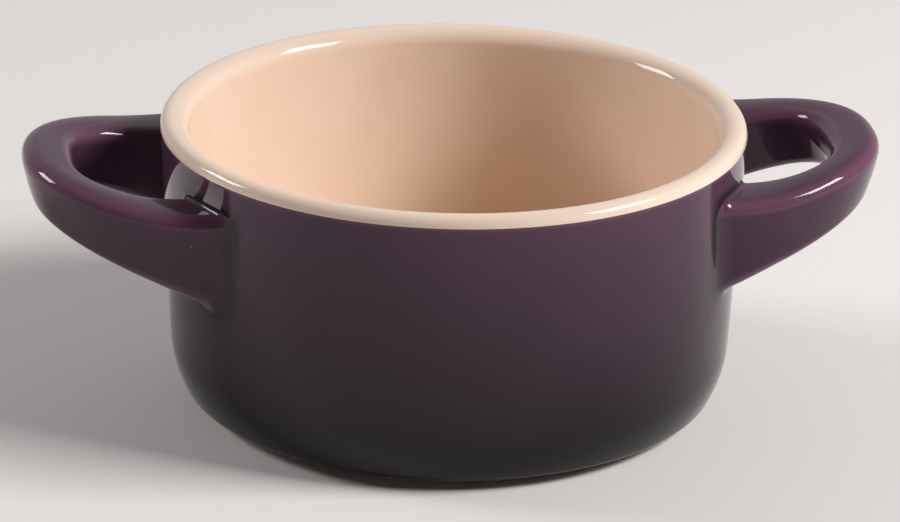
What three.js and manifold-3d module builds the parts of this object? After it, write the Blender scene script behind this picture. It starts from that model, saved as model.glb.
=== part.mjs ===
// A small two-handled stoneware condiment pot. A round, slightly tapered body stands on a bare foot ring.
// Two rising loop handles are luted to the wall with slip. A pale glaze lines the inside and rolls over the
// lip, and a plum glaze covers the outside and the handles.
// Millimetres, +Z up. The origin is the centre of the foot on the table, and the handles lie along X.

import * as THREE from 'three';
import { mergeVertices } from 'three/addons/utils/BufferGeometryUtils.js';
import Module from 'manifold-3d';

const wasm = await Module();
wasm.setup();

// Pot, measured over the glaze
const RIM_RADIUS = 50; // outside of the lip
const POT_HEIGHT = 50; // table to the top of the lip
const WALL_TAPER = 2.6; // degrees that the wall leans in towards the foot
const WALL_THICKNESS = 4.8; // across the lip
const LIP_ROLL = 1.8; // radius of the lip's outer roll, where the pale glaze ends
const BELLY_RADIUS = 20.4; // curve that draws the wall in at the bottom
const BELLY_TURN = 27; // degrees from upright where the belly meets the lower edge
const EDGE_RADIUS = 1.6; // tight lower edge
const FLOOR_THICKNESS = 5.2; // inside floor above the underside
const INSIDE_CORNER = 9; // radius between the inside wall and the floor

// Foot ring, bare clay
const FOOT_HEIGHT = 1.8; // table to the underside of the belly
const FOOT_INSET = 2.4; // from the end of the lower edge in to the ring
const FOOT_WIDTH = 4; // of the ring
const FOOT_CHAMFER = 0.5; // on both of the ring's edges
const FOOT_BARE = 0.6; // underside left free of glaze beside the ring
const RECESS_DEPTH = 2.4; // hollow inside the ring

// Handles, measured over the glaze
const HANDLE_REACH = 23.5; // tip beyond the rim
const HANDLE_SPREAD = 27.8; // half width of the outer outline
const HANDLE_WIDEST = 17; // how far inside the rim the outer outline is widest
const OUTER_SQUARENESS = 2.3; // superellipse exponent of the outer outline
const BAND_AT_ROOT = 11.8; // band width in plan where it is widest
const BAND_AT_TIP = 8.6; // band width in plan at the tip
const GAP_WIDEST = 8; // how far inside the rim the finger gap is widest
const GAP_SQUARENESS = 3.1; // superellipse exponent of the finger gap
const HANDLE_DROP = 8; // lip down to the band's top, above the rim's edge
const HANDLE_RISE = 11.7; // degrees that the band's top climbs outwards
const ROOT_LIFT = 0.6; // how far the band's top curls up again at the rim's edge
const LIFT_START = 8; // beyond the rim, where the top starts to curl up
const DEPTH_AT_RIM = 14; // band height above the rim's edge
const DEPTH_AT_TIP = 8.8; // band height at the tip
const BAND_DRAFT = 8.5; // degrees that both sides of the band lean in towards its underside
const TOP_ROUND = 2.2; // radius of the band's upper edges
const UNDER_ROUND = 2.8; // radius of the band's lower edges, where the band is wide enough for it
const UNDER_FLAT = 0.6; // least flat between the band's lower edges
const ROOT_FILLET = 1.1; // fillet where the band's top and underside meet the wall
const SIDE_FILLET = 1.8; // fillet where the band's sides meet the wall

// Coats and joints
const GLAZE = 0.5; // thickness of each glaze
const SLIP = 0.8; // thickness of the luting slip
const CLEARANCE = 0.1; // between neighbouring solids
const COAT = GLAZE + CLEARANCE; // glazed surface down to the clay

// Facets
const LATHE_SEGMENTS = 48;
const ARC_STEPS = 4;
const HALF_STATIONS = 11;
const STATION_CROWDING = 1.6;
const RING_STEPS = 3;
const BISECTIONS = 30;

const degrees = THREE.MathUtils.degToRad;

// Construction points of the pot's glazed section, as radius and height
const taper = degrees(WALL_TAPER);
const bellyTurn = degrees(BELLY_TURN);
const outward = new THREE.Vector2(Math.cos(taper), -Math.sin(taper));
const lipInner = WALL_THICKNESS - LIP_ROLL;
const crownRadius = RIM_RADIUS - LIP_ROLL;
const lipCentre = new THREE.Vector2(crownRadius, POT_HEIGHT - LIP_ROLL);
const lipInnerCentre = new THREE.Vector2(crownRadius, POT_HEIGHT - lipInner);
const outerWall = lipCentre.dot(outward) + LIP_ROLL;
const innerWall = lipInnerCentre.dot(outward) - lipInner;
const floorHeight = FOOT_HEIGHT + FLOOR_THICKNESS;

// Radius on a line parallel to the wall at a height
function wallLine(offset, height) {
  return (offset - height * outward.y) / outward.x;
}

const edgeHeight = FOOT_HEIGHT + EDGE_RADIUS;
const bellyHeight = edgeHeight + (BELLY_RADIUS - EDGE_RADIUS) * Math.sin(bellyTurn);
const bellyCentre = new THREE.Vector2(wallLine(outerWall - BELLY_RADIUS, bellyHeight), bellyHeight);
const edgeCentre = new THREE.Vector2(
  bellyCentre.x + (BELLY_RADIUS - EDGE_RADIUS) * Math.cos(bellyTurn),
  edgeHeight,
);
const cornerHeight = floorHeight + INSIDE_CORNER;
const cornerCentre = new THREE.Vector2(wallLine(innerWall - INSIDE_CORNER, cornerHeight), cornerHeight);
const footRadius = edgeCentre.x - FOOT_INSET;

function arc(centre, radius, from, to) {
  const curve = new THREE.EllipseCurve(centre.x, centre.y, radius, radius, from, to, from > to);
  return curve.getPoints(ARC_STEPS);
}

// Outside of the pot from the underside up to the lip's roll, inset from the glazed surface
function outsideCurve(inset, underside, seam) {
  const wallTop = lipCentre.clone().addScaledVector(outward, LIP_ROLL - inset);
  wallTop.y -= seam;
  wallTop.x -= seam * Math.tan(taper);
  return [
    new THREE.Vector2(underside, FOOT_HEIGHT + inset),
    ...arc(edgeCentre, EDGE_RADIUS - inset, -Math.PI / 2, -bellyTurn),
    ...arc(bellyCentre, BELLY_RADIUS - inset, -bellyTurn, -taper).slice(1),
    wallTop,
  ];
}

// Over the lip, down the inside and across the floor to the axis, inset from the glazed surface
function insideCurve(inset) {
  return [
    ...arc(lipCentre, LIP_ROLL - inset, -taper, Math.PI / 2),
    ...arc(lipInnerCentre, lipInner - inset, Math.PI / 2, Math.PI - taper).slice(1),
    ...arc(cornerCentre, INSIDE_CORNER + inset, -taper, -Math.PI / 2),
    new THREE.Vector2(0, floorHeight - inset),
  ];
}

function revolve(profile) {
  const geometry = new THREE.LatheGeometry(profile, LATHE_SEGMENTS);
  return geometry.rotateX(Math.PI / 2);
}

function potBody() {
  const footInner = footRadius - FOOT_WIDTH;
  return revolve([
    new THREE.Vector2(0, RECESS_DEPTH),
    new THREE.Vector2(footInner, RECESS_DEPTH),
    new THREE.Vector2(footInner, FOOT_CHAMFER),
    new THREE.Vector2(footInner + FOOT_CHAMFER, 0),
    new THREE.Vector2(footRadius - FOOT_CHAMFER, 0),
    new THREE.Vector2(footRadius, FOOT_CHAMFER),
    ...outsideCurve(COAT, footRadius, 0).slice(0, -1),
    ...insideCurve(COAT),
  ]);
}

function innerGlaze() {
  return revolve([...insideCurve(GLAZE).reverse(), ...insideCurve(0)]);
}

// Closed ring of plum glaze round the wall, stopping short of the foot and of the pale glaze
function outerGlazeRing() {
  const underside = footRadius + FOOT_BARE;
  const skin = outsideCurve(0, underside, CLEARANCE);
  const back = outsideCurve(GLAZE, underside, CLEARANCE).reverse();
  return revolve([...skin, ...back, skin[0]]);
}

// A cone with the wall's slope, inset from the glazed wall, tall enough to pass both ends of a handle
function wallCone(inset) {
  const radiusAt = (height) => wallLine(outerWall - inset, height);
  return revolve([
    new THREE.Vector2(0, 0),
    new THREE.Vector2(radiusAt(0), 0),
    new THREE.Vector2(radiusAt(POT_HEIGHT), POT_HEIGHT),
    new THREE.Vector2(0, POT_HEIGHT),
  ]);
}

// Half of a superellipse in plan, from the near root round the tip to the far root
class LoopOutline extends THREE.Curve {
  constructor(centre, tip, spread, squareness) {
    super();
    this.centre = centre;
    this.tip = tip;
    this.spread = spread;
    this.power = 2 / squareness;
  }

  getPoint(t, target = new THREE.Vector2()) {
    const angle = (t - 0.5) * Math.PI;
    const across = Math.sin(angle);
    const reach = Math.max(Math.cos(angle), 0) ** this.power;
    const side = Math.sign(across) * Math.abs(across) ** this.power;
    return target.set(this.centre + (this.tip - this.centre) * reach, this.spread * side);
  }
}

const handleTip = RIM_RADIUS + HANDLE_REACH;
const bandOutside = new LoopOutline(RIM_RADIUS - HANDLE_WIDEST, handleTip, HANDLE_SPREAD, OUTER_SQUARENESS);
const bandInside = new LoopOutline(
  RIM_RADIUS - GAP_WIDEST,
  handleTip - BAND_AT_TIP,
  HANDLE_SPREAD - BAND_AT_ROOT,
  GAP_SQUARENESS,
);

// Straight line along the band's top, which climbs outwards
function topLine(x) {
  return POT_HEIGHT - HANDLE_DROP + Math.tan(degrees(HANDLE_RISE)) * (x - RIM_RADIUS);
}

function bandTop(x) {
  const curl = Math.max(1 - (x - RIM_RADIUS) / LIFT_START, 0);
  return topLine(x) + ROOT_LIFT * curl ** 2;
}

function bandBottom(x) {
  const along = (x - RIM_RADIUS) / HANDLE_REACH;
  return topLine(x) - THREE.MathUtils.lerp(DEPTH_AT_RIM, DEPTH_AT_TIP, along);
}

// Share of an outline's length at which it comes out of the wall
function leavesWall(outline) {
  const middle = (bandTop(RIM_RADIUS) + bandBottom(RIM_RADIUS)) / 2;
  const radius = wallLine(outerWall, middle);
  let hidden = 0;
  let free = 0.5;
  for (let step = 0; step < BISECTIONS; step += 1) {
    const half = (hidden + free) / 2;
    if (outline.getPointAt(half).length() < radius) hidden = half;
    else free = half;
  }
  return free;
}

// Points of an outline at the loft's stations: crowded at the roots, with one station inside the wall
function stationPoints(outline) {
  const root = leavesWall(outline);
  const points = [];
  for (let station = -HALF_STATIONS - 1; station <= HALF_STATIONS + 1; station += 1) {
    const fromRoot = 1 - Math.abs(station) / HALF_STATIONS;
    const share = fromRoot < 0 ? root / 2 : root + (0.5 - root) * fromRoot ** STATION_CROWDING;
    points.push(outline.getPointAt(station < 0 ? share : 1 - share));
  }
  return points;
}

// How far a fillet lifts a surface at a distance from the wall
function filletLift(radius, distance) {
  const below = THREE.MathUtils.clamp(radius - distance, 0, radius);
  return radius - Math.sqrt(radius ** 2 - below ** 2);
}

// One section of the band: four round corners between its inner and outer plan points, narrower below
function bandSection(inside, outside, grow) {
  const across = outside.clone().sub(inside).normalize();
  const leanAt = (plan) => (bandTop(plan.x) - bandBottom(plan.x)) * Math.tan(degrees(BAND_DRAFT));
  const underWidth = outside.distanceTo(inside) - leanAt(outside) - leanAt(inside);
  const underRound = Math.min(UNDER_ROUND, (underWidth - UNDER_FLAT) / 2);
  const ring = [];
  for (let corner = 0; corner < 4; corner += 1) {
    const isTop = corner < 2;
    const plan = corner === 0 || corner === 3 ? outside : inside;
    const inwards = plan === outside ? -1 : 1;
    const round = isTop ? TOP_ROUND : underRound;
    const lean = isTop ? 0 : leanAt(plan);
    const centre = plan.clone().addScaledVector(across, inwards * (round + lean));
    const height = isTop ? bandTop(centre.x) - round : bandBottom(centre.x) + round;
    for (let step = 0; step <= RING_STEPS; step += 1) {
      const angle = (Math.PI / 2) * (corner + step / RING_STEPS);
      const pointAt = (radius) => {
        const flat = centre.clone().addScaledVector(across, radius * Math.cos(angle));
        return new THREE.Vector3(flat.x, flat.y, height + radius * Math.sin(angle));
      };
      const surface = pointAt(round);
      const distance = Math.hypot(surface.x, surface.y) - wallLine(outerWall, surface.z);
      const fillet = THREE.MathUtils.lerp(ROOT_FILLET, SIDE_FILLET, Math.abs(Math.cos(angle)));
      ring.push(pointAt(round + grow + filletLift(fillet, distance)));
    }
  }
  return ring;
}

// The handle's loop as a loft through its sections, grown from the glazed surface
function bandLoft(grow) {
  const inside = stationPoints(bandInside);
  const outside = stationPoints(bandOutside);
  const rings = inside.map((point, station) => bandSection(point, outside[station], grow));
  const around = rings[0].length;
  const index = [];
  for (let station = 1; station < rings.length; station += 1) {
    for (let point = 0; point < around; point += 1) {
      const next = (point + 1) % around;
      const a = (station - 1) * around + point;
      const b = (station - 1) * around + next;
      const c = station * around + next;
      const d = station * around + point;
      index.push(a, c, b, a, d, c);
    }
  }
  const last = (rings.length - 1) * around;
  for (let point = 1; point < around - 1; point += 1) {
    index.push(0, point, point + 1);
    index.push(last, last + point + 1, last + point);
  }
  const geometry = new THREE.BufferGeometry().setFromPoints(rings.flat());
  geometry.setIndex(index);
  return geometry;
}

// A closed geometry as a solid that can be joined and cut
function solid(geometry) {
  const bare = geometry.clone();
  bare.deleteAttribute('normal');
  bare.deleteAttribute('uv');
  const merged = mergeVertices(bare);
  const corners = merged.index.array;
  const triangles = [];
  for (let i = 0; i < corners.length; i += 3) {
    const [a, b, c] = corners.slice(i, i + 3);
    if (a !== b && b !== c && c !== a) triangles.push(a, b, c);
  }
  return new wasm.Manifold(new wasm.Mesh({
    numProp: 3,
    vertProperties: new Float32Array(merged.attributes.position.array),
    triVerts: new Uint32Array(triangles),
  }));
}

function geometryOf(shape) {
  const mesh = shape.getMesh();
  const geometry = new THREE.BufferGeometry();
  geometry.setAttribute('position', new THREE.BufferAttribute(mesh.vertProperties, 3));
  geometry.setIndex(new THREE.BufferAttribute(mesh.triVerts, 1));
  geometry.computeVertexNormals();
  return geometry;
}

const slipBack = solid(wallCone(GLAZE));
const slipFace = solid(wallCone(GLAZE - SLIP));
const handleSeat = solid(wallCone(GLAZE - SLIP - CLEARANCE));
const clayBand = solid(bandLoft(-COAT));

// The clay loop, ending on the slip at both roots
function handle() {
  return geometryOf(clayBand.subtract(handleSeat));
}

// Slip between the wall and one root; side is -1 in front and 1 at the rear
function slipJoint(side) {
  const half = new THREE.BoxGeometry(2 * handleTip, 2 * HANDLE_SPREAD, 2 * POT_HEIGHT);
  half.translate(0, side * HANDLE_SPREAD, POT_HEIGHT);
  const layer = slipFace.subtract(slipBack);
  return geometryOf(clayBand.intersect(layer).intersect(solid(half)));
}

// Plum glaze as a sleeve round the loop, its ends on the clay wall
function handleGlaze() {
  const sleeve = solid(bandLoft(0)).subtract(solid(bandLoft(-GLAZE)));
  return geometryOf(sleeve.subtract(slipBack));
}

// Plum glaze on the wall, open where the four roots come through
function outerGlaze() {
  const right = bandLoft(CLEARANCE);
  const left = right.clone().rotateZ(Math.PI);
  return geometryOf(solid(outerGlazeRing()).subtract(solid(right)).subtract(solid(left)));
}

const stoneware = new THREE.MeshStandardMaterial({ color: 0xcdbca4, roughness: 0.85, metalness: 0 });
const slipClay = new THREE.MeshStandardMaterial({ color: 0xc4b196, roughness: 0.9, metalness: 0 });
const paleGlaze = new THREE.MeshStandardMaterial({ color: 0xe9c4a4, roughness: 0.12, metalness: 0 });
const plumGlaze = new THREE.MeshStandardMaterial({ color: 0x4a3344, roughness: 0.1, metalness: 0 });

function piece(name, geometry, material) {
  const mesh = new THREE.Mesh(geometry, material);
  mesh.name = name;
  return mesh;
}

const loopGeometry = handle();
const frontSlip = slipJoint(-1);
const rearSlip = slipJoint(1);
const sleeveGeometry = handleGlaze();

// One handle with its joints and its glaze; turned half round, the front root becomes the rear one
function handleGroup(name, turn, front, rear) {
  const group = new THREE.Group();
  group.add(piece(`${name}_handle`, loopGeometry, stoneware));
  group.add(piece(`${name}_${front}_slip`, frontSlip, slipClay));
  group.add(piece(`${name}_${rear}_slip`, rearSlip, slipClay));
  group.add(piece(`${name}_handle_glaze`, sleeveGeometry, plumGlaze));
  group.rotation.z = turn;
  return group;
}

const pot = new THREE.Group();
pot.add(piece('pot_body', potBody(), stoneware));
pot.add(piece('inner_glaze', innerGlaze(), paleGlaze));
pot.add(piece('outer_glaze', outerGlaze(), plumGlaze));
pot.add(handleGroup('right', 0, 'front', 'rear'));
pot.add(handleGroup('left', Math.PI, 'rear', 'front'));

export default pot;
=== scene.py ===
# %% [markdown]
# A small two-handled condiment pot in glazed stoneware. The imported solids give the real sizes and
# places. This lesson models the smooth glazed surfaces round them, gives every surface its
# finish, and then sets the pot on a pale floor under two softboxes.

# %% Load the frame
import math

import bmesh
import bpy
import numpy as np
from mathutils import Matrix, Vector


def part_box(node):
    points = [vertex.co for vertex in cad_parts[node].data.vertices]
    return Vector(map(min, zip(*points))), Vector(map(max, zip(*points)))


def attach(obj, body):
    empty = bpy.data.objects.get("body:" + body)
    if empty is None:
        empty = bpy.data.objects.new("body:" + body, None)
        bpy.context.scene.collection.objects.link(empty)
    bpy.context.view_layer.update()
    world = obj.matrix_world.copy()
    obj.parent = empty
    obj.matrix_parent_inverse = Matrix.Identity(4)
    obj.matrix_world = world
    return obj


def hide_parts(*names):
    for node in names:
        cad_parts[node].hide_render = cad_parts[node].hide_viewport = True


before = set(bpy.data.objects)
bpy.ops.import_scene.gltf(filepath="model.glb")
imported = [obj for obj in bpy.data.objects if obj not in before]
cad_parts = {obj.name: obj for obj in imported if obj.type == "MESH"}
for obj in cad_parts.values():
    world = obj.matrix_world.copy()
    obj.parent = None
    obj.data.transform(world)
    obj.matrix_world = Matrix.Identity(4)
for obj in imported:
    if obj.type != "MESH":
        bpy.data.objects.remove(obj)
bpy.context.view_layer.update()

# %% [markdown]
# A potter turns the section of a pot with a template, so the section comes first here too. The
# rim, the height and the reach of the handles are read from the solids. The smaller sizes, such
# as the roll of the lip or the tight lower edge, are written once, in millimetres, and become
# metres here.

# %% Sizes of the pot's section
MM = 0.001
_, liner_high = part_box("inner_glaze")
rim_radius = liner_high.x
pot_height = liner_high.z
wall_taper = math.radians(2.6)
wall_thickness = 4.8 * MM
lip_roll = 1.8 * MM
lip_inner = wall_thickness - lip_roll
belly_radius = 20.4 * MM
belly_turn = math.radians(27)
edge_radius = 1.6 * MM
foot_height = 1.8 * MM
foot_inset = 2.4 * MM
foot_width = 4 * MM
foot_chamfer = 0.5 * MM
foot_bare = 0.6 * MM
recess_depth = 2.4 * MM
floor_height = foot_height + 5.2 * MM
inside_corner = 9 * MM
glaze = 0.5 * MM
hairline = 0.02 * MM
coat = glaze + hairline
print("Rim", round(2 * rim_radius / MM, 1), "mm across, height", round(pot_height / MM, 1), "mm")

# %% [markdown]
# The glazed section is made of straight stretches and arcs that meet without a corner: the lip is
# two rolls, the wall leans in a little, a wide belly draws it in, and a tight edge turns under to
# the foot. Arcs worked out from their centres keep every joint tangent, which a hand-placed
# outline would not.

# %% Construction points of the section
outward = np.array([math.cos(wall_taper), -math.sin(wall_taper)])
lip_centre = np.array([rim_radius - lip_roll, pot_height - lip_roll])
lip_inner_centre = np.array([rim_radius - lip_roll, pot_height - lip_inner])
outer_wall = lip_centre @ outward + lip_roll
inner_wall = lip_inner_centre @ outward - lip_inner


def wall_radius(offset, height):
    """Radius of a line parallel to the wall, at a height."""
    return (offset - height * outward[1]) / outward[0]


edge_height = foot_height + edge_radius
belly_height = edge_height + (belly_radius - edge_radius) * math.sin(belly_turn)
belly_centre = np.array([wall_radius(outer_wall - belly_radius, belly_height), belly_height])
belly_to_edge = (belly_radius - edge_radius) * math.cos(belly_turn)
edge_centre = np.array([belly_centre[0] + belly_to_edge, edge_height])
corner_height = floor_height + inside_corner
corner_centre = np.array([wall_radius(inner_wall - inside_corner, corner_height), corner_height])
foot_radius = edge_centre[0] - foot_inset
print("Foot ring", round(2 * foot_radius / MM, 1), "mm across")

# %% [markdown]
# A potter's section is one flowing line, and each coat follows it at its own depth. So the curves
# are functions of an inset: the glazed surface has none, and the clay lies one coat further in.
# The steps are closer in the tight arcs, because a highlight shows every flat facet there.

# %% Curves of the section
EDGE_STEPS = 8
BELLY_STEPS = 12
LIP_STEPS = 10
LIP_INNER_STEPS = 12
INSIDE_WALL_STEPS = 8
CORNER_STEPS = 12
FLOOR_STEPS = 6


def arc(centre, radius, start, end, steps):
    """Points on a circle between two angles."""
    angles = np.linspace(start, end, steps + 1)
    return [centre + radius * np.array([math.cos(a), math.sin(a)]) for a in angles]


def stretch(start, end, steps):
    """Points on a straight line, without its two ends."""
    return [start + (end - start) * step / steps for step in range(1, steps)]


def outside_curve(inset, seam, wall_steps):
    """From the underside round the lower edge and up the wall, inset from the glazed surface."""
    under = np.array([foot_radius + foot_bare, foot_height + inset])
    edge = arc(edge_centre, edge_radius - inset, -math.pi / 2, -belly_turn, EDGE_STEPS)
    belly = arc(belly_centre, belly_radius - inset, -belly_turn, -wall_taper, BELLY_STEPS)
    top = lip_centre + (lip_roll - inset) * outward
    top = top - seam * np.array([math.sin(wall_taper), math.cos(wall_taper)])
    return [under, *edge, *belly[1:], *stretch(belly[-1], top, wall_steps), top]


def inside_curve(inset):
    """Over the lip, down the inside and across the floor, inset from the glazed surface."""
    over = arc(lip_centre, lip_roll - inset, -wall_taper, math.pi / 2, LIP_STEPS)
    wall_side = math.pi - wall_taper
    down = arc(lip_inner_centre, lip_inner - inset, math.pi / 2, wall_side, LIP_INNER_STEPS)
    corner = arc(corner_centre, inside_corner + inset, -wall_taper, -math.pi / 2, CORNER_STEPS)
    axis = np.array([0.0, floor_height - inset])
    wall = stretch(down[-1], corner[0], INSIDE_WALL_STEPS)
    floor = stretch(corner[-1], axis, FLOOR_STEPS)
    return [*over, *down[1:], *wall, *corner, *floor, axis]


print("The inside curve has", len(inside_curve(0)), "points")

# %% [markdown]
# A round piece is quickest to make as a potter's wheel does it: one vertex is drawn along the
# section by extruding it, and the row is then spun round the axis. A lathe built one step at a time
# keeps the vertices where they help, close together in the tight curves and far apart on the
# straight wall.

# %% Spin a section
SPIN_STEPS = 240
MERGE = 0.002 * MM


def spin_section(name, points):
    """Draw one vertex along a section and spin it round the pot's axis."""
    bpy.ops.object.select_all(action="DESELECT")
    bpy.ops.mesh.primitive_plane_add(size=MM)
    piece = bpy.context.object
    piece.name = piece.data.name = name
    bpy.ops.object.mode_set(mode="EDIT")
    bpy.ops.mesh.merge(type="CENTER")
    bpy.ops.transform.translate(value=(points[0][0], 0, points[0][1]))
    for start, end in zip(points, points[1:]):
        move = {"value": (end[0] - start[0], 0, end[1] - start[1])}
        bpy.ops.mesh.extrude_region_move(TRANSFORM_OT_translate=move)
    bpy.ops.mesh.select_all(action="SELECT")
    bpy.ops.mesh.spin(steps=SPIN_STEPS, angle=2 * math.pi, center=(0, 0, 0), axis=(0, 0, 1))
    bpy.ops.mesh.select_all(action="SELECT")
    bpy.ops.mesh.remove_doubles(threshold=MERGE)
    bpy.ops.mesh.normals_make_consistent(inside=False)
    bpy.ops.object.mode_set(mode="OBJECT")
    print(name, "has", len(piece.data.polygons), "faces")
    return piece


# %% [markdown]
# The clay body is one closed solid under both glazes. Only its foot ring and the hollow underside
# stay bare, because a kiln shelf would stick to a glazed foot. Its ring has small chamfers, where
# a potter wipes it.

# %% Clay body
CLAY_WALL_ROWS = 6
foot_inner = foot_radius - foot_width
body_section = [
    np.array([0.0, recess_depth]),
    np.array([foot_inner, recess_depth]),
    np.array([foot_inner, foot_chamfer]),
    np.array([foot_inner + foot_chamfer, 0.0]),
    np.array([foot_radius - foot_chamfer, 0.0]),
    np.array([foot_radius, foot_chamfer]),
    np.array([foot_radius, foot_height + coat]),
    *outside_curve(coat, 0, CLAY_WALL_ROWS),
    *inside_curve(coat)[1:],
]
clay_body = spin_section("clay_body", body_section)

# %% [markdown]
# The pale glaze lines the bowl and rolls over the lip. It is a coat of its own thickness, so its
# section goes out along the glazed surface and back along the clay, and spins into a closed skin.

# %% Pale liner
liner_section = [*reversed(inside_curve(0)), *inside_curve(glaze)]
pale_liner = spin_section("pale_liner", liner_section)

# %% [markdown]
# The plum coat starts as the outside of the wall alone. It stays a single skin until the handles
# have grown out of it, because a skin can be cut and sewn, and gets its thickness at the end.

# %% Plum wall
WALL_ROWS = 26
plum_coat = spin_section("plum_coat", outside_curve(0, hairline, WALL_ROWS))

# %% [markdown]
# Each handle is a flat loop of clay, pressed in a mould and stuck to the wall at two roots. Seen
# from above, the loop lies between two outlines that are squarer than an ellipse, and its top
# climbs outwards. A curve with a bevel profile would keep one section all along. This band is
# wide and deep at the roots and slim at the tip, so its sections are worked out one by one
# between the two outlines.

# %% Sizes of the handles
_, sleeve_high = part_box("right_handle_glaze")
handle_tip = sleeve_high.x
handle_reach = handle_tip - rim_radius
handle_spread = 27.8 * MM
handle_widest = 17 * MM
outer_squareness = 2.3
band_at_root = 11.8 * MM
band_at_tip = 8.6 * MM
gap_widest = 8 * MM
gap_squareness = 3.1
handle_drop = 8 * MM
handle_rise = math.tan(math.radians(11.7))
root_lift = 0.6 * MM
lift_start = 8 * MM
depth_at_rim = 14 * MM
depth_at_tip = 8.8 * MM
band_draft = math.tan(math.radians(8.5))
top_round = 2.2 * MM
under_round = 2.8 * MM
under_flat = 0.6 * MM
crown = 0.12 * MM
print("The handles reach", round(handle_reach / MM, 1), "mm beyond the rim")

# %% [markdown]
# Seen from above, a handle's two outlines are half superellipses, which are fuller than ellipses
# at the corners. Seen from the side, its top and bottom climb outwards along lines. Functions of
# the distance from the axis are enough to give the height anywhere on the band.

# %% Outlines and heights of the band
OUTLINE_POINTS = 2001


def loop_outline(centre, tip, spread, squareness):
    """Half a superellipse in plan, from the near root round the tip to the far root."""
    turn = np.linspace(-math.pi / 2, math.pi / 2, OUTLINE_POINTS)
    power = 2 / squareness
    reach = np.clip(np.cos(turn), 0, None) ** power
    side = np.sign(turn) * np.abs(np.sin(turn)) ** power
    return np.column_stack([centre + (tip - centre) * reach, spread * side])


def beyond_rim(x):
    """Share of the way from the rim's edge to the tip."""
    return (x - rim_radius) / handle_reach


def top_line(x):
    """Straight line along the band's top, which climbs outwards."""
    return pot_height - handle_drop + handle_rise * (x - rim_radius)


def band_top(x):
    """The top curls up again a little where it nears the wall."""
    curl = np.clip(1 - (x - rim_radius) / lift_start, 0, None)
    return top_line(x) + root_lift * curl**2


def band_bottom(x):
    """The underside climbs more steeply than the top, so the band is slimmer at its tip."""
    return top_line(x) - depth_at_rim - (depth_at_tip - depth_at_rim) * beyond_rim(x)


band_outside = loop_outline(rim_radius - handle_widest, handle_tip, handle_spread, outer_squareness)
gap_spread = handle_spread - band_at_root
gap_tip = handle_tip - band_at_tip
band_inside = loop_outline(rim_radius - gap_widest, gap_tip, gap_spread, gap_squareness)
top_heights = [round(band_top(x) / MM, 1) for x in (rim_radius, handle_tip)]
print("The band's top climbs from", top_heights[0], "to", top_heights[1], "mm")

# %% [markdown]
# The loft needs stations along both outlines. They are spaced from where each outline comes out
# of the wall, so a station joins points of the inner and the outer outline that belong together.

# %% Stations along the loop
HALF_STATIONS = 120
HIDDEN_SHARE = 0.08


def station_points(outline):
    """Points of an outline from just inside the wall, round the tip and back into the wall."""
    steps = np.linalg.norm(np.diff(outline, axis=0), axis=1)
    length = np.concatenate([[0], np.cumsum(steps)])
    middle = (band_top(rim_radius) + band_bottom(rim_radius)) / 2
    outside = np.hypot(outline[:, 0], outline[:, 1]) > wall_radius(outer_wall, middle)
    root = length[np.argmax(outside)]
    shares = np.linspace(-HIDDEN_SHARE, 1, HALF_STATIONS + 1)
    half = root + shares * (length[-1] / 2 - root)
    along = np.concatenate([half, length[-1] - half[-2::-1]])
    return np.column_stack([np.interp(along, length, outline[:, axis]) for axis in (0, 1)])


inside_points = station_points(band_inside)
outside_points = station_points(band_outside)
across = outside_points - inside_points
across /= np.linalg.norm(across, axis=1)[:, None]
print("The loft has", len(across), "stations")

# %% [markdown]
# A section of the band is four round corners with flat stretches between them. The sides lean in
# towards the underside, so that the clay came out of its mould. The lower corners are kept
# smaller where the band is slim, because two full corners would cross there.

# %% Corners of the band
def band_depth(plan):
    """Height of the band's side at every station of an outline."""
    return band_top(plan[:, 0]) - band_bottom(plan[:, 0])


width = np.linalg.norm(outside_points - inside_points, axis=1)
under_width = width - band_draft * (band_depth(outside_points) + band_depth(inside_points))
lower_round = np.minimum(under_round, (under_width - under_flat) / 2)


def band_corner(corner):
    """Centre and radius of one corner at every station, with the lean of the side that it ends."""
    is_top = corner < 2
    plan, inwards = (inside_points, 1) if corner in (1, 2) else (outside_points, -1)
    depth = band_depth(plan)
    lean = depth * band_draft
    tilt = np.arctan2(lean, depth - top_round - lower_round)
    radius = np.full_like(depth, top_round) if is_top else lower_round
    shift = radius if is_top else radius + lean
    flat = plan + inwards * shift[:, None] * across
    height = band_top(flat[:, 0]) - radius if is_top else band_bottom(flat[:, 0]) + radius
    return np.column_stack([flat, height]), radius, tilt


corners = [band_corner(corner) for corner in range(4)]
print("The lower corners are rounded by at least", round(lower_round.min() / MM, 2), "mm")

# %% [markdown]
# Going once round the section gives an arc and a flat in turn. The flats swell a little, because
# clay is never pressed quite flat. Each line also keeps how far it lies on a rounded edge,
# because a glaze runs thin over an edge and lets more of the clay's red through.

# %% Lines of the sections
ARC_STEPS = 8
FLAT_STEPS = 6
START_LEAN = (-1, 0, 1, 0)
END_LEAN = (0, 1, 0, -1)


def facing(angle):
    """Direction out of the band at an angle round its section, at every station."""
    return np.column_stack([across * np.cos(angle)[:, None], np.sin(angle)])


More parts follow.
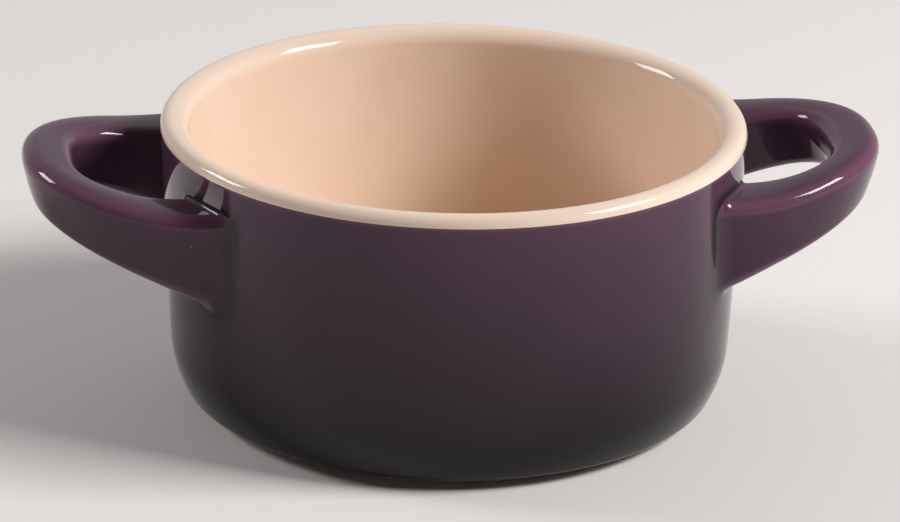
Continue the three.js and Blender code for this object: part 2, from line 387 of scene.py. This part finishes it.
lines = []
normals = []
on_edge = []
for corner in range(4):
    centre, radius, tilt = corners[corner]
    next_centre, next_radius, _ = corners[(corner + 1) % 4]
    start = math.pi / 2 * corner + START_LEAN[corner] * tilt
    end = math.pi / 2 * (corner + 1) + END_LEAN[corner] * tilt
    for step in range(ARC_STEPS + 1):
        normal = facing(start + (end - start) * step / ARC_STEPS)
        lines.append(centre + radius[:, None] * normal)
        normals.append(normal)
        on_edge.append(math.sin(math.pi * step / ARC_STEPS))
    flat_normal = facing(end)
    from_here = centre + radius[:, None] * flat_normal
    to_next = next_centre + next_radius[:, None] * flat_normal
    for step in range(1, FLAT_STEPS):
        share = step / FLAT_STEPS
        swell = 4 * crown * share * (1 - share)
        lines.append(from_here + share * (to_next - from_here) + swell * flat_normal)
        normals.append(flat_normal)
        on_edge.append(0)
print("A section of the band has", len(lines), "points")

# %% [markdown]
# Where a handle meets the wall, wet slip and glaze fill the corner, so the real surface runs from
# one into the other. Each line of the loft is cut where it enters the wall and ends in a short
# curve that leaves along the wall: tight on top and below, and softer at the sides, where a
# finger smoothed it.

# %% Fillets at the roots
LOOP_ROWS = 150
FILLET_ROWS = 8
top_fillet = 1.0 * MM
outer_fillet = 2.4 * MM
gap_fillet = 1.8 * MM
under_fillet = 1.6 * MM


def fillet_reach(normal):
    """How far the fillet reaches on a side of the band that faces along a normal at the root."""
    side = normal[:2] @ across[0]
    weights = np.array([max(side, 0), max(-side, 0), max(normal[2], 0), max(-normal[2], 0)]) ** 2
    reaches = np.array([outer_fillet, gap_fillet, top_fillet, under_fillet])
    return weights @ reaches / weights.sum()


def onto_wall(point):
    """The point of the wall's surface at a point's height and direction from the axis."""
    scale = wall_radius(outer_wall, point[2]) / math.hypot(point[0], point[1])
    return np.array([point[0] * scale, point[1] * scale, point[2]])


def free_stretch(line):
    """The part of a line outside the wall, with both its ends on the wall."""
    gap = np.hypot(line[:, 0], line[:, 1]) - wall_radius(outer_wall, line[:, 2])
    free = np.flatnonzero(gap > 0)
    ends = []
    for shown, hidden in ((free[0], free[0] - 1), (free[-1], free[-1] + 1)):
        share = gap[shown] / (gap[shown] - gap[hidden])
        ends.append(line[shown] + share * (line[hidden] - line[shown]))
    return np.vstack([ends[0], line[free[0] : free[-1] + 1], ends[1]])


def fillet(leaves_band, root, normal, reach):
    """Points of a curve from the band to the wall, tangent to both."""
    turn = math.atan2(root[1], root[0])
    slope = Vector((math.cos(turn) * outward[0], math.sin(turn) * outward[0], outward[1]))
    along_wall = np.array(Vector(normal) - Vector(normal).project(slope))
    lands = onto_wall(root + reach * along_wall / np.linalg.norm(along_wall))
    shares = np.linspace(0, 1, FILLET_ROWS + 1)[:, None]
    return (1 - shares) ** 2 * leaves_band + 2 * shares * (1 - shares) * root + shares**2 * lands


def filleted_line(line, normal):
    """One line of the loft: a fillet, the free stretch along the loop, and a fillet again."""
    stretch_line = free_stretch(line)
    steps = np.linalg.norm(np.diff(stretch_line, axis=0), axis=1)
    length = np.concatenate([[0], np.cumsum(steps)])
    reach = fillet_reach(normal[0])
    along = np.linspace(reach, length[-1] - reach, LOOP_ROWS)
    loop = np.column_stack([np.interp(along, length, stretch_line[:, axis]) for axis in range(3)])
    near = fillet(loop[0], stretch_line[0], normal[0], reach)
    far = fillet(loop[-1], stretch_line[-1], normal[-1], reach)
    return np.vstack([near[:0:-1], loop, far[1:]])


loft = np.array([filleted_line(line, normal) for line, normal in zip(lines, normals)])
print("The loft has", loft.shape[1], "rows of", loft.shape[0], "points")

# %% [markdown]
# The loft becomes a mesh by wrapping a sheet: a grid primitive with one column for each line of
# the loft is laid on the loft's points, and its first and last columns, which lie on each other,
# are merged into a tube. A value on every vertex says where the glaze is thin (above 0) and where
# shade is painted in the fillets (below 0), where the glaze also lies thicker.

# %% Wrap a sheet round the loop
around, rows, _ = loft.shape
bpy.ops.object.select_all(action="DESELECT")
bpy.ops.mesh.primitive_grid_add(x_subdivisions=around, y_subdivisions=rows - 1, size=1)
right_loop = bpy.context.object
right_loop.name = right_loop.data.name = "right_loop"
thin_and_shade = right_loop.data.attributes.new("thin_and_shade", "FLOAT", "POINT")
for vertex in right_loop.data.vertices:
    column = round((vertex.co.x + 0.5) * around) % around
    row = round((vertex.co.y + 0.5) * (rows - 1))
    # Painted shade: the value goes below 0 in the fillet rows, so the glaze is darkened where the
    # handle meets the wall.
    fillet_shade = max(1 - min(row, rows - 1 - row) / FILLET_ROWS, 0)
    vertex.co = loft[column, row]
    thin_and_shade.data[vertex.index].value = on_edge[column] * (1 - fillet_shade) - fillet_shade
bpy.ops.object.mode_set(mode="EDIT")
bpy.ops.mesh.select_all(action="SELECT")
bpy.ops.mesh.remove_doubles(threshold=MERGE)
bpy.ops.object.mode_set(mode="OBJECT")
print("Each loop has", len(right_loop.data.polygons), "faces")

# %% [markdown]
# Both handles come from one mould. The second is a copy of the first, turned half round the pot's
# axis. A turn is better than a mirror here, because the faces keep facing outwards.

# %% The second loop
bpy.ops.object.duplicate()
left_loop = bpy.context.object
left_loop.name = left_loop.data.name = "left_loop"
bpy.ops.object.mode_set(mode="EDIT")
bpy.ops.mesh.select_all(action="SELECT")
bpy.ops.transform.rotate(value=math.pi, orient_axis="Z", center_override=(0, 0, 0))
bpy.ops.object.mode_set(mode="OBJECT")
print("Loops:", right_loop.name, left_loop.name)

# %% [markdown]
# On the real pot no wall glaze lies behind a root. So the wall gets four windows there, each a
# little larger than the ring where the fillet lands. They are measured as angles and heights,
# which suit a turned wall.

# %% Windows behind the roots
WINDOW_SPARE_STEPS = 1.5
EDGE_SPARE = 2
landing = loft[:, 0]
root_turns = np.degrees(np.arctan2(landing[:, 1], landing[:, 0]))
window_margin = WINDOW_SPARE_STEPS * 360 / SPIN_STEPS
turn_low, turn_high = root_turns.min() - window_margin, root_turns.max() + window_margin
row_height = (lip_centre[1] - belly_centre[1]) / WALL_ROWS
height_low, height_high = landing[:, 2].min() - row_height, landing[:, 2].max() + row_height


def in_window(point, turn_sign, half_turn, spare):
    """Whether a point of the wall lies in the window of one root."""
    turn = math.degrees(math.atan2(point.y, point.x)) - half_turn
    turn = turn_sign * ((turn + 180) % 360 - 180)
    in_turn = turn_low - spare < turn < turn_high + spare
    in_height = height_low - spare * MM < point.z < height_high + spare * MM
    return bool(in_turn and in_height)


roots = [(sign, half) for half in (0, 180) for sign in (1, -1)]
print("Each window is", round(turn_high - turn_low, 1), "degrees wide")

# %% [markdown]
# The three skins become one mesh. The wall's faces in the windows are deleted, and each window is
# bridged to the ring of vertices where the fillet lands. A boolean union would leave slivers
# along the roots, which a glossy glaze shows.

# %% Sew the loops to the wall
bpy.ops.object.select_all(action="DESELECT")
for part in (right_loop, left_loop, plum_coat):
    part.select_set(True)
bpy.context.view_layer.objects.active = plum_coat
wall_faces = len(plum_coat.data.polygons)
bpy.ops.object.join()
bpy.ops.object.mode_set(mode="EDIT")
bpy.ops.mesh.select_mode(type="FACE")
bpy.ops.mesh.select_all(action="DESELECT")
sheet = bmesh.from_edit_mesh(plum_coat.data)
sheet.faces.ensure_lookup_table()
for face in sheet.faces[:wall_faces]:
    face.select_set(any(in_window(face.calc_center_median(), *root, 0) for root in roots))
bmesh.update_edit_mesh(plum_coat.data)
bpy.ops.mesh.delete(type="FACE")
bpy.ops.mesh.select_mode(type="EDGE")
for root in roots:
    bpy.ops.mesh.select_all(action="DESELECT")
    sheet = bmesh.from_edit_mesh(plum_coat.data)
    for edge in sheet.edges:
        middle = (edge.verts[0].co + edge.verts[1].co) / 2
        edge.select_set(edge.is_boundary and in_window(middle, *root, EDGE_SPARE))
    bmesh.update_edit_mesh(plum_coat.data)
    bpy.ops.mesh.bridge_edge_loops()
bpy.ops.mesh.select_all(action="SELECT")
bpy.ops.mesh.normals_make_consistent(inside=False)
bpy.ops.object.mode_set(mode="OBJECT")
print("The plum coat has", len(plum_coat.data.polygons), "faces")

# %% [markdown]
# The skin becomes a coat by giving it the glaze's thickness, inwards, with a Solidify modifier.
# The outside stays where it was modelled, so it still meets the pale glaze at the lip.

# %% Thickness and smooth shading
SMOOTH_ANGLE = math.radians(40)


def make_active(piece):
    """Select one piece alone, so that an operator acts on nothing else."""
    bpy.ops.object.select_all(action="DESELECT")
    piece.select_set(True)
    bpy.context.view_layer.objects.active = piece


make_active(plum_coat)
thickness = plum_coat.modifiers.new("glaze thickness", "SOLIDIFY")
thickness.thickness = glaze
thickness.offset = -1
bpy.ops.object.modifier_apply(modifier=thickness.name)
for piece in (clay_body, pale_liner, plum_coat):
    make_active(piece)
    bpy.ops.object.shade_smooth_by_angle(angle=SMOOTH_ANGLE)
    triangles = sum(len(face.vertices) - 2 for face in piece.data.polygons)
    print(piece.name, "has", triangles, "triangles")

# %% [markdown]
# The finishes are made of small steps: mix two colours, carry a value into a range, do one sum.
# Each step is a node, so a few short functions make the nodes and join them. That keeps the cells
# about the glaze itself.

# %% Node helpers
COLOUR = "NodeSocketColor"
NUMBER = "NodeSocketFloat"
MIX_FACTOR, MIX_FIRST, MIX_SECOND, MIX_RESULT = 0, 6, 7, 2


def feed(tree, socket, value):
    """Give a socket its value; a socket as a value is linked instead."""
    if isinstance(value, bpy.types.NodeSocket):
        tree.links.new(value, socket)
    else:
        socket.default_value = value


def add_node(tree, kind, **inputs):
    """A new node with some of its sockets fed, named with underscores for spaces."""
    made = tree.nodes.new(kind)
    for name, value in inputs.items():
        feed(tree, made.inputs[name.replace("_", " ")], value)
    return made


def new_group(name, inputs, outputs):
    """An empty node group with named sockets, its input node and its output node."""
    group = bpy.data.node_groups.new(name, "ShaderNodeTree")
    for label, kind in inputs:
        group.interface.new_socket(label, in_out="INPUT", socket_type=kind)
    for label, kind in outputs:
        group.interface.new_socket(label, in_out="OUTPUT", socket_type=kind)
    return group, group.nodes.new("NodeGroupInput"), group.nodes.new("NodeGroupOutput")


def mix_colours(tree, factor, first, second):
    """A colour between two, by a factor."""
    mix = tree.nodes.new("ShaderNodeMix")
    mix.data_type = "RGBA"
    feed(tree, mix.inputs[MIX_FACTOR], factor)
    feed(tree, mix.inputs[MIX_FIRST], first)
    feed(tree, mix.inputs[MIX_SECOND], second)
    return mix.outputs[MIX_RESULT]


def math_node(tree, operation, first, second):
    """The result of one sum."""
    made = tree.nodes.new("ShaderNodeMath")
    made.operation = operation
    for socket, value in zip(made.inputs, (first, second)):
        feed(tree, socket, value)
    return made.outputs[0]


def map_range(tree, value, start, end, low=0.0, high=1.0):
    """A value carried from one range to another, and held inside it."""
    made = add_node(tree, "ShaderNodeMapRange", Value=value, From_Min=start, From_Max=end)
    feed(tree, made.inputs["To Min"], low)
    feed(tree, made.inputs["To Max"], high)
    return made.outputs[0]


print("Node helpers are ready")

# %% [markdown]
# Both glazes share one effect: clouds of slightly deeper colour where the coat lies thicker, a
# very shallow ripple of the melted surface, and a few pinholes. Where the coat runs thin, the colour
# shifts too, and where the value goes below 0 the deep colour is painted in as shade. It is a node
# group, so each glaze sets its own colours.

# %% Glaze skin group
CLOUD_SCALE = 48.0
CLOUD_LOW, CLOUD_HIGH = 0.35, 0.7
PINHOLE_SCALE = 230.0
PINHOLE_SIZE = 0.042
PINHOLE_RARITY = 0.72
RIPPLE_SCALE = 140.0
skin, skin_in, skin_out = new_group(
    "glaze_skin",
    [
        ("Colour", COLOUR),
        ("Deep_and_Shade", COLOUR),
        ("Thin", COLOUR),
        ("Pinhole", COLOUR),
        ("Clouds", NUMBER),
        ("Pinholes", NUMBER),
        ("Thinness_and_Shade", NUMBER),
    ],
    [("Colour", COLOUR), ("Height", NUMBER)],
)
place = skin.nodes.new("ShaderNodeTexCoord").outputs["Object"]
clouds = add_node(
    skin, "ShaderNodeTexNoise", Vector=place, Scale=CLOUD_SCALE, Detail=3.0, Roughness=0.55
)
cloud_mask = map_range(skin, clouds.outputs["Fac"], CLOUD_LOW, CLOUD_HIGH)
cloud_share = math_node(skin, "MULTIPLY", cloud_mask, skin_in.outputs["Clouds"])
clouded = mix_colours(skin, cloud_share, skin_in.outputs["Colour"], skin_in.outputs["Deep_and_Shade"])
thin_share = math_node(skin, "MAXIMUM", skin_in.outputs["Thinness_and_Shade"], 0.0)
thinned = mix_colours(skin, thin_share, clouded, skin_in.outputs["Thin"])
# Below 0 the value paints shade: the colour is darkened towards the deep one.
shade_value = math_node(skin, "MULTIPLY", skin_in.outputs["Thinness_and_Shade"], -1.0)
painted_shade_share = math_node(skin, "MAXIMUM", shade_value, 0.0)
painted_shade_colour = mix_colours(skin, painted_shade_share, thinned, skin_in.outputs["Deep_and_Shade"])
cells = add_node(skin, "ShaderNodeTexVoronoi", Vector=place, Scale=PINHOLE_SCALE)
near_middle = math_node(skin, "LESS_THAN", cells.outputs["Distance"], PINHOLE_SIZE)
chosen = math_node(skin, "GREATER_THAN", cells.outputs["Color"], PINHOLE_RARITY)
pinhole = math_node(skin, "MULTIPLY", near_middle, chosen)
pinhole_share = math_node(skin, "MULTIPLY", pinhole, skin_in.outputs["Pinholes"])
finished = mix_colours(skin, pinhole_share, painted_shade_colour, skin_in.outputs["Pinhole"])
ripple = add_node(skin, "ShaderNodeTexNoise", Vector=place, Scale=RIPPLE_SCALE, Detail=1.0)
height = math_node(skin, "SUBTRACT", ripple.outputs["Fac"], pinhole_share)
skin.links.new(finished, skin_out.inputs["Colour"])
skin.links.new(height, skin_out.inputs["Height"])
print("Group", skin.name, "has", len(skin.nodes), "nodes")

# %% [markdown]
# A glaze is glass over clay, so one Principled shader with a low roughness does for both colours.
# The colour comes from the group, and the ripple feeds a weak bump. Its index of refraction is
# lower than that of glass, because the reflection of the pale floor would otherwise turn the dark
# wall grey.

# %% Glaze materials
GLAZE_IOR = 1.36
RIPPLE_DEPTH = 0.02 * MM


def new_material(name, roughness):
    """A material with a Principled shader of one roughness."""
    material = bpy.data.materials.new(name)
    material.use_nodes = True
    shader = material.node_tree.nodes["Principled BSDF"]
    shader.inputs["Roughness"].default_value = roughness
    return material, material.node_tree, shader


def glaze_material(name, colours, roughness, clouds, pinholes):
    """A glossy glaze with clouds, ripple and pinholes."""
    material, tree, shader = new_material(name, roughness)
    shader.inputs["IOR"].default_value = GLAZE_IOR
    skin_node = tree.nodes.new("ShaderNodeGroup")
    skin_node.node_tree = skin
    for label, value in colours.items():
        skin_node.inputs[label].default_value = (*value, 1)
    skin_node.inputs["Clouds"].default_value = clouds
    skin_node.inputs["Pinholes"].default_value = pinholes
    bump = add_node(tree, "ShaderNodeBump", Height=skin_node.outputs["Height"], Distance=RIPPLE_DEPTH)
    tree.links.new(skin_node.outputs["Colour"], shader.inputs["Base Color"])
    tree.links.new(bump.outputs["Normal"], shader.inputs["Normal"])
    return material


pale_colours = {
    "Colour": (0.84, 0.66, 0.53),
    "Deep_and_Shade": (0.78, 0.57, 0.43),
    "Thin": (0.84, 0.67, 0.55),
    "Pinhole": (0.55, 0.40, 0.28),
}
# The plum's deep colour is nearly black, because it also paints shade in the fillets and towards the
# foot.
plum_colours = {
    "Colour": (0.084, 0.037, 0.068),
    "Deep_and_Shade": (0.008, 0.006, 0.009),
    "Thin": (0.145, 0.064, 0.102),
    "Pinhole": (0.24, 0.18, 0.20),
}
pale_glaze = glaze_material("pale_glaze", pale_colours, roughness=0.06, clouds=0.5, pinholes=0.3)
plum_glaze = glaze_material("plum_glaze", plum_colours, roughness=0.05, clouds=0.2, pinholes=0.8)
print("Glazes:", pale_glaze.name, plum_glaze.name)

# %% [markdown]
# The plum glaze thins out towards its upper edge, just under the lip, and shows a fine reddish
# line there. On the handles it is thin where the value kept on the vertices says so. It is
# darkened in the fillets, which is painted shade where the glaze also lies thicker, and it is
# darkened towards the foot, which is painted shade. Heights on the pot are enough for the line and
# the darkening, and the pale glaze thins by height too, over the lip.

# %% Where the glazes run thin, and painted shade
THIN_LINE = 0.9 * MM
# Heights between which the plum is darkened towards the foot, as painted shade.
FOOT_SHADE_LOW = 8 * MM
FOOT_SHADE_HIGH = 48 * MM


def height_ramp(material, start, full):
    """A share that grows with height, from none at one height to full at another."""
    tree = material.node_tree
    place = tree.nodes.new("ShaderNodeTexCoord").outputs["Object"]
    height = add_node(tree, "ShaderNodeSeparateXYZ", Vector=place).outputs["Z"]
    return map_range(tree, height, start, full)


plum_tree = plum_glaze.node_tree
on_handles = plum_tree.nodes.new("ShaderNodeAttribute")
on_handles.attribute_name = "thin_and_shade"
under_lip = height_ramp(plum_glaze, lip_centre[1] - THIN_LINE, lip_centre[1])
on_edges = math_node(plum_tree, "MAXIMUM", on_handles.outputs["Fac"], under_lip)
# Painted shade: darker in the fillets and towards the foot.
shade_in_fillets = math_node(plum_tree, "MINIMUM", on_handles.outputs["Fac"], 0.0)
shade_towards_foot = math_node(plum_tree, "SUBTRACT", height_ramp(plum_glaze, FOOT_SHADE_LOW, FOOT_SHADE_HIGH), 1.0)
deepest_shade = math_node(plum_tree, "MINIMUM", shade_in_fillets, shade_towards_foot)
plum_thin_and_shade = math_node(plum_tree, "ADD", on_edges, deepest_shade)
pale_thinness = height_ramp(pale_glaze, pot_height - lip_inner, pot_height - lip_inner / 2)
for material, thin_and_shade_socket in ((plum_glaze, plum_thin_and_shade), (pale_glaze, pale_thinness)):
    tree = material.node_tree
    skin_node = next(node for node in tree.nodes if node.type == "GROUP")
    tree.links.new(thin_and_shade_socket, skin_node.inputs["Thinness_and_Shade"])
    print(material.name, "runs thin")

# %% [markdown]
# Bare stoneware shows only under the pot: a dry, sandy biscuit colour with fine dark grains. The
# slip in the joints is the same clay stirred to a cream, so it shares the group with finer, fewer
# grains.

# %% Clay group and materials
BLOTCH_SCALE = 90.0
BLOTCH_SHARE = 0.35
GRAIN_LOW, GRAIN_HIGH = 0.62, 0.7
GRAIN_DEPTH = 0.1 * MM
CLAY_ROUGHNESS = 0.85
clay, clay_in, clay_out = new_group(
    "clay_grain",
    [("Colour", COLOUR), ("Grain", COLOUR), ("Grain Size", NUMBER), ("Grains", NUMBER)],
    [("Colour", COLOUR), ("Height", NUMBER)],
)
place = clay.nodes.new("ShaderNodeTexCoord").outputs["Object"]
blotches = add_node(clay, "ShaderNodeTexNoise", Vector=place, Scale=BLOTCH_SCALE, Detail=4.0)
blotch_share = math_node(clay, "MULTIPLY", blotches.outputs["Fac"], BLOTCH_SHARE)
grain_scale = math_node(clay, "DIVIDE", 1.0, clay_in.outputs["Grain Size"])
grain = add_node(clay, "ShaderNodeTexNoise", Vector=place, Scale=grain_scale, Detail=2.0)
grain_mask = map_range(clay, grain.outputs["Fac"], GRAIN_LOW, GRAIN_HIGH)
grain_share = math_node(clay, "MULTIPLY", grain_mask, clay_in.outputs["Grains"])
grain_total = math_node(clay, "MAXIMUM", grain_share, blotch_share)
sandy = mix_colours(clay, grain_total, clay_in.outputs["Colour"], clay_in.outputs["Grain"])
clay.links.new(sandy, clay_out.inputs["Colour"])
clay.links.new(grain.outputs["Fac"], clay_out.inputs["Height"])


def clay_material(name, colour, grain_colour, grain_size, grains):
    """Dry, unglazed clay."""
    material, tree, shader = new_material(name, CLAY_ROUGHNESS)
    grain_node = tree.nodes.new("ShaderNodeGroup")
    grain_node.node_tree = clay
    grain_node.inputs["Colour"].default_value = (*colour, 1)
    grain_node.inputs["Grain"].default_value = (*grain_colour, 1)
    grain_node.inputs["Grain Size"].default_value = grain_size
    grain_node.inputs["Grains"].default_value = grains
    bump = add_node(tree, "ShaderNodeBump", Height=grain_node.outputs["Height"], Distance=GRAIN_DEPTH)
    tree.links.new(grain_node.outputs["Colour"], shader.inputs["Base Color"])
    tree.links.new(bump.outputs["Normal"], shader.inputs["Normal"])
    return material


biscuit, biscuit_grain = (0.60, 0.50, 0.38), (0.34, 0.26, 0.18)
cream, cream_grain = (0.55, 0.44, 0.31), (0.40, 0.31, 0.21)
stoneware = clay_material("stoneware", biscuit, biscuit_grain, grain_size=0.6 * MM, grains=0.8)
slip = clay_material("slip", cream, cream_grain, grain_size=0.35 * MM, grains=0.4)
print("Clays:", stoneware.name, slip.name)

# %% [markdown]
# Each new piece stands for the solids that it covers, and moves with the pot's one body. The clay
# loops and their slip joints stay as they are packed, under the plum coat, and get their clay
# finish.

# %% Pieces, solids and finishes
plum_solids = ["outer_glaze", "left_handle_glaze", "right_handle_glaze"]
finishes = [
    (clay_body, stoneware, "stoneware", ["pot_body"]),
    (pale_liner, pale_glaze, "pale_glaze", ["inner_glaze"]),
    (plum_coat, plum_glaze, "plum_glaze", plum_solids),
]
for piece, material, slot, solids in finishes:
    piece.data.materials.append(material)
    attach(piece, "root")
    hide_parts(*solids)
for name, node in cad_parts.items():
    if not node.hide_render:
        node.data.materials.clear()
        node.data.materials.append(slip if name.endswith("_slip") else stoneware)
        print("Kept solid:", name)

# %% [markdown]
# The pot stands on a pale sheet that runs out of the picture on every side. A large disc with a
# little tooth in its surface does that, and keeps the pot's shadow.

# %% Floor
FLOOR_RADIUS = 6.0
FLOOR_SIDES = 96
TOOTH_SCALE = 700.0
TOOTH_LOW = (0.80, 0.765, 0.76, 1)
TOOTH_HIGH = (0.84, 0.805, 0.80, 1)
PAPER_ROUGHNESS = 0.9
bpy.ops.object.select_all(action="DESELECT")
bpy.ops.mesh.primitive_circle_add(
    vertices=FLOOR_SIDES, radius=FLOOR_RADIUS, fill_type="NGON", location=(0, 0, -hairline)
)
pale_floor = bpy.context.object
pale_floor.name = "pale_floor"
paper, paper_tree, paper_shader = new_material("paper", PAPER_ROUGHNESS)
place = paper_tree.nodes.new("ShaderNodeTexCoord").outputs["Object"]
tooth = add_node(paper_tree, "ShaderNodeTexNoise", Vector=place, Scale=TOOTH_SCALE, Detail=2.0)
tooth_colour = mix_colours(paper_tree, tooth.outputs["Fac"], TOOTH_LOW, TOOTH_HIGH)
paper_tree.links.new(tooth_colour, paper_shader.inputs["Base Color"])
pale_floor.data.materials.append(paper)
print("Floor", 2 * FLOOR_RADIUS, "m across")

# %% [markdown]
# The camera looks down on the pot through a long lens. It stands a little to the left, so the
# left handle comes forward, and it is rolled by about a degree.

# %% Camera
FRAME_WIDTH = 900
SENSOR_WIDTH = 36
LENS = 180
VIEW_TURN = math.radians(-8.2)
VIEW_HEIGHT = math.radians(21.31)
VIEW_ROLL = math.radians(1.26)
VIEW_DISTANCE = 775.7 * MM
PICTURE_RIGHT = 1.15
PICTURE_UP = 10.7
look_at = Vector((0, 0, pot_height / 2))


def towards(turn, height):
    """Direction from the pot, turned to the right of the -Y side and lifted above the floor."""
    level = math.cos(height)
    return Vector((math.sin(turn) * level, -math.cos(turn) * level, math.sin(height)))


bpy.ops.object.camera_add()
camera = bpy.context.object
back = towards(VIEW_TURN, VIEW_HEIGHT)
facing_pot = (-back).to_track_quat("-Z", "Y").to_matrix().to_4x4()
stand = Matrix.Translation(look_at + VIEW_DISTANCE * back)
camera.matrix_world = stand @ facing_pot @ Matrix.Rotation(VIEW_ROLL, 4, "Z")
camera.data.sensor_width = SENSOR_WIDTH
camera.data.lens = LENS
camera.data.shift_x = -PICTURE_RIGHT / FRAME_WIDTH
camera.data.shift_y = -PICTURE_UP / FRAME_WIDTH
bpy.context.scene.camera = camera
print("Camera at", [round(value, 4) for value in camera.location])

# %% [markdown]
# Two softboxes light the pot: a strong one on the right, and a weaker and lower one on the left,
# a little behind. Each is an area light that faces the pot, because its shape then shows in the
# highlights on the lip and the handles, as a real softbox does.

# %% Softboxes
LAMP_COLOUR = (1.0, 0.985, 0.97)


def softbox(name, turn, height, distance, width, length, power):
    """An area light turned to the right of the camera and lifted, facing the pot."""
    bpy.ops.object.light_add(type="AREA")
    lamp = bpy.context.object
    lamp.name = name
    direction = towards(VIEW_TURN + math.radians(turn), math.radians(height))
    aim = (-direction).to_track_quat("-Z", "Y").to_matrix().to_4x4()
    lamp.matrix_world = Matrix.Translation(look_at + distance * direction) @ aim
    lamp.data.shape = "RECTANGLE"
    lamp.data.size = width
    lamp.data.size_y = length
    lamp.data.energy = power
    lamp.data.color = LAMP_COLOUR
    return lamp


right_box = {"turn": 76, "height": 38, "distance": 1.1, "width": 0.44, "length": 0.30, "power": 13}
left_box = {"turn": -104, "height": 28, "distance": 1.2, "width": 0.42, "length": 0.30, "power": 6}
lamps = [softbox("right_softbox", **right_box), softbox("left_softbox", **left_box)]
print("Lights:", [lamp.name for lamp in lamps])

# %% [markdown]
# The rest of the light comes from the room. It is lighter behind the pot than in front of it, so
# the front of the wall stays dark and the far lip stays bright. A smooth change over the whole
# sky does that without an edge that the glaze would mirror.

# %% Room
BACKDROP_LIGHT = 0.62
DIM_LIGHT = 0.01
DIMMEST_SIDE = -0.9
ROOM_COLOUR = (1.0, 0.97, 0.96, 1)
studio = bpy.data.worlds.new("studio")
bpy.context.scene.world = studio
studio.use_nodes = True
room = studio.node_tree
backdrop_side = Vector((0, 1, -0.8)).normalized()
direction = room.nodes.new("ShaderNodeTexCoord").outputs["Generated"]
facing_backdrop = room.nodes.new("ShaderNodeVectorMath")
facing_backdrop.operation = "DOT_PRODUCT"
facing_backdrop.inputs[1].default_value = backdrop_side
room.links.new(direction, facing_backdrop.inputs[0])
backdrop_share = facing_backdrop.outputs["Value"]
strength = map_range(room, backdrop_share, DIMMEST_SIDE, 1.0, DIM_LIGHT, BACKDROP_LIGHT)
room.nodes["Background"].inputs["Color"].default_value = ROOM_COLOUR
room.links.new(strength, room.nodes["Background"].inputs["Strength"])
bpy.context.scene.view_settings.view_transform = "Standard"
print("Room light from", DIM_LIGHT, "to", BACKDROP_LIGHT)
